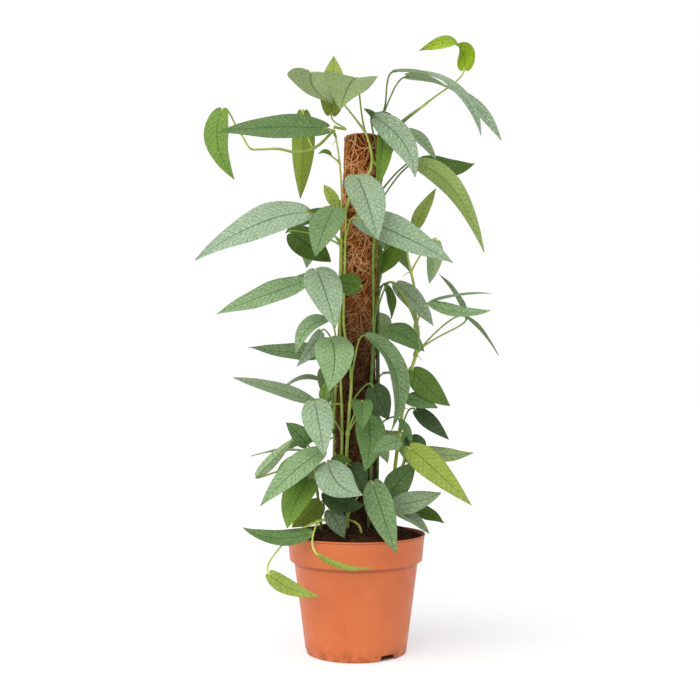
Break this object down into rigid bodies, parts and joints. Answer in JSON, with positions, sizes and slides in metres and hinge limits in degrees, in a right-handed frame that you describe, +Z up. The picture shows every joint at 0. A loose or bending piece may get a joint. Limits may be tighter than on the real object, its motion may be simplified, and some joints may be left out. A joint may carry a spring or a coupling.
{
  "type": "potted climbing pothos",
  "caption": "Climbing pothos with long silvery blue-green leaves, vines tied up a coir-wrapped pole in a round tapered plastic nursery pot filled with soil.",
  "frame": {"origin": "centre of the pot's underside, on the ground", "axes": "+Z up the pole, -Y towards the front that the leaves face, +X to the right seen from the front"},
  "size_m": [0.3729, 0.247, 0.7513],
  "materials": {
    "terracotta_plastic": "semi-matte orange plastic",
    "potting_soil": "loose damp soil with fibre, matte",
    "timber": "plain sawn wood",
    "coir": "rough brown coconut fibre",
    "foliage": "soft leaf with a silvery sheen"
  },
  "bodies": {
    "root": {"pot": "terracotta_plastic", "soil": "potting_soil", "pole_stake": "timber", "coir_sleeve": "coir", "vine_front_left": "foliage", "vine_left": "foliage", "vine_lower_left": "foliage", "vine_trailing": "foliage", "vine_front": "foliage", "vine_front_right": "foliage", "vine_right": "foliage", "vine_outer_right": "foliage", "vine_lower_right": "foliage", "vine_back_left": "foliage", "vine_back": "foliage", "vine_back_right": "foliage"}
  },
  "joints": []
}
